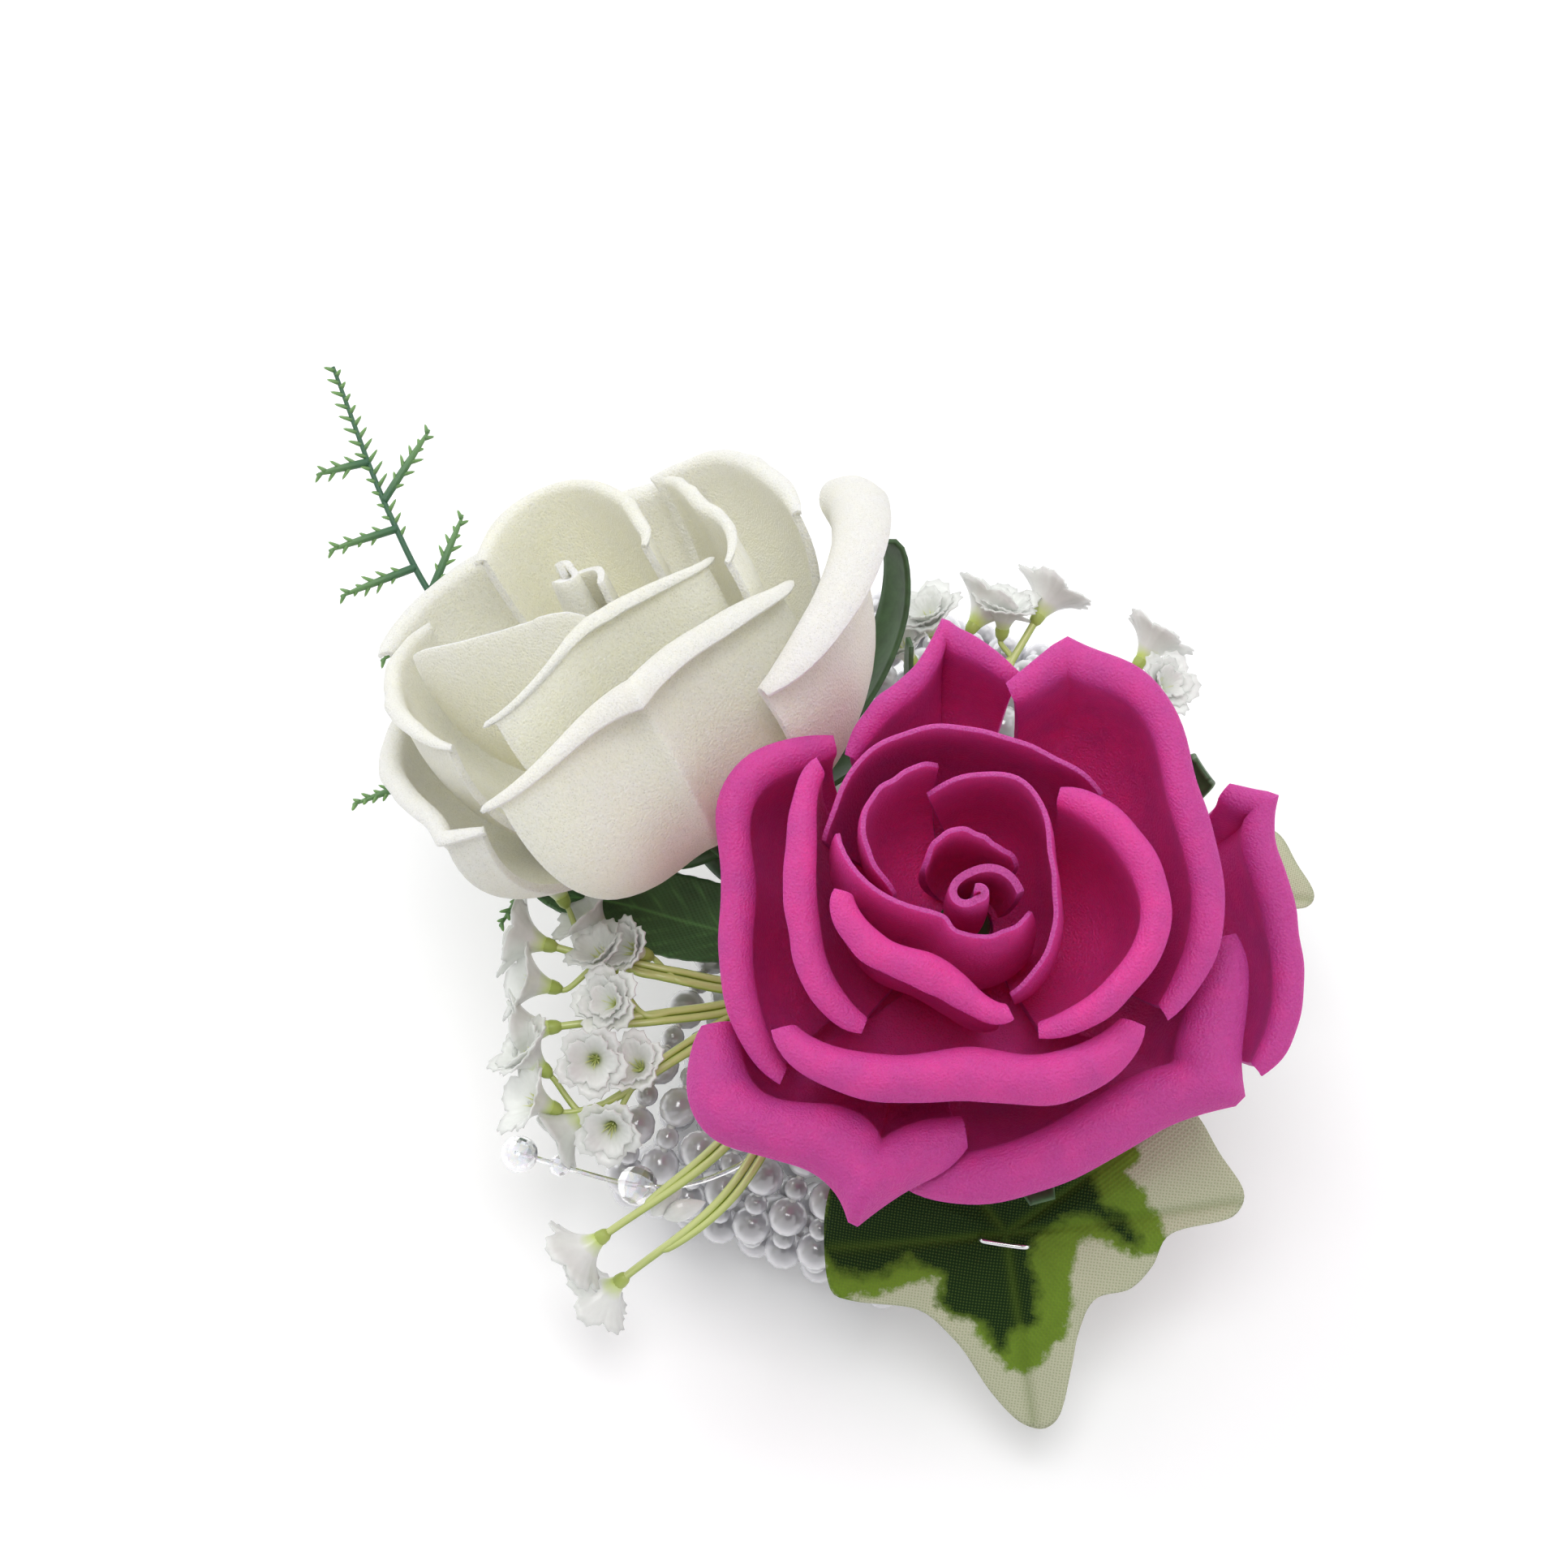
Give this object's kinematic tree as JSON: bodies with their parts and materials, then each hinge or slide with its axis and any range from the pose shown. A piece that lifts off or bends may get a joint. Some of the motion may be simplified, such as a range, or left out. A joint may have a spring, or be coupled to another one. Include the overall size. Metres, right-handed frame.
{
  "type": "wrist corsage",
  "caption": "Stretch pearl bracelet with a pink and an ivory foam rose, ivy and fern leaves, plastic gypsophila sprays and clear beads on nylon line.",
  "frame": {"origin": "middle of the wrist pad's underside, where the corsage rests on the back of the wrist", "axes": "+X along the wrist, toward the side where the small ivy leaf shows; +Z out of the wrist, up through the flowers; +Y around the wrist, toward the rear bend of the bracelet"},
  "size_m": [0.1305, 0.0971, 0.073],
  "materials": {
    "pearl": "pearlescent",
    "felt": "felt",
    "plate": "satin",
    "tape": "waxed crepe tape",
    "pink_foam": "fine-pored foam",
    "ivory_foam": "fine-pored foam",
    "calyx": "satin",
    "ivy_fabric": "printed woven fabric",
    "leaf_fabric": "woven fabric",
    "fern": "moulded",
    "gypsophila": "translucent moulded",
    "clear_bead": "clear, rainbow coated",
    "wire": "drawn wire"
  },
  "bodies": {
    "arrangement": {"held_strand_1": "pearl", "held_strand_2": "pearl", "held_strand_3": "pearl", "held_strand_4": "pearl", "held_strand_5": "pearl", "held_strand_6": "pearl", "held_strand_7": "pearl", "held_strand_8": "pearl", "held_strand_9": "pearl", "wrist_pad": "felt", "backing_plate": "plate", "stem_bundle": "tape", "pink_bud": "pink_foam", "pink_petal_1": "pink_foam", "pink_petal_2": "pink_foam", "pink_petal_3": "pink_foam", "pink_petal_4": "pink_foam", "pink_petal_5": "pink_foam", "pink_petal_6": "pink_foam", "pink_petal_7": "pink_foam", "pink_petal_8": "pink_foam", "pink_petal_9": "pink_foam", "pink_petal_10": "pink_foam", "pink_petal_11": "pink_foam", "pink_petal_12": "pink_foam", "pink_petal_13": "pink_foam", "pink_petal_14": "pink_foam", "pink_petal_15": "pink_foam", "pink_calyx": "calyx", "ivory_bud": "ivory_foam", "ivory_petal_1": "ivory_foam", "ivory_petal_2": "ivory_foam", "ivory_petal_3": "ivory_foam", "ivory_petal_4": "ivory_foam", "ivory_petal_5": "ivory_foam", "ivory_petal_6": "ivory_foam", "ivory_petal_7": "ivory_foam", "ivory_petal_8": "ivory_foam", "ivory_petal_9": "ivory_foam", "ivory_petal_10": "ivory_foam", "ivory_calyx": "calyx", "ivy_leaf": "ivy_fabric", "leaf_staple": "wire", "small_ivy_leaf": "ivy_fabric", "rose_leaf": "leaf_fabric", "low_fern": "fern", "gyp_left": "gypsophila", "gyp_rear": "gypsophila"},
    "free_run": {"free_strand_1": "pearl", "free_strand_2": "pearl", "free_strand_3": "pearl", "free_strand_4": "pearl", "free_strand_5": "pearl", "free_strand_6": "pearl", "free_strand_7": "pearl", "free_strand_8": "pearl", "free_strand_9": "pearl"},
    "fern": {"fern_frond": "fern"},
    "low_gypsophila": {"gyp_low": "gypsophila"},
    "bead_line": {"bead_spray": "clear_bead"}
  },
  "joints": [
    {"name": "bracelet_stretch", "type": "slide", "parent": "arrangement", "child": "free_run", "axis": [0, 0, -1], "range_m": [0, 0.025], "stiffness_N_per_m": 80},
    {"name": "fern_sway", "type": "hinge", "parent": "arrangement", "child": "fern", "pos_m": [-0.01036, -0.00454, 0.0096], "axis": [0, 0, 1], "range_deg": [-8, 8], "stiffness_Nm_per_rad": 0.0035},
    {"name": "low_gypsophila_sway", "type": "hinge", "parent": "arrangement", "child": "low_gypsophila", "pos_m": [-0.00064, -0.00978, 0.0091], "axis": [0, 0, 1], "range_deg": [-7, 7], "stiffness_Nm_per_rad": 0.0035},
    {"name": "bead_line_sway", "type": "hinge", "parent": "arrangement", "child": "bead_line", "pos_m": [0.00158, -0.0093, 0.0089], "axis": [0, 0, 1], "range_deg": [-7, 3], "stiffness_Nm_per_rad": 0.0035}
  ]
}
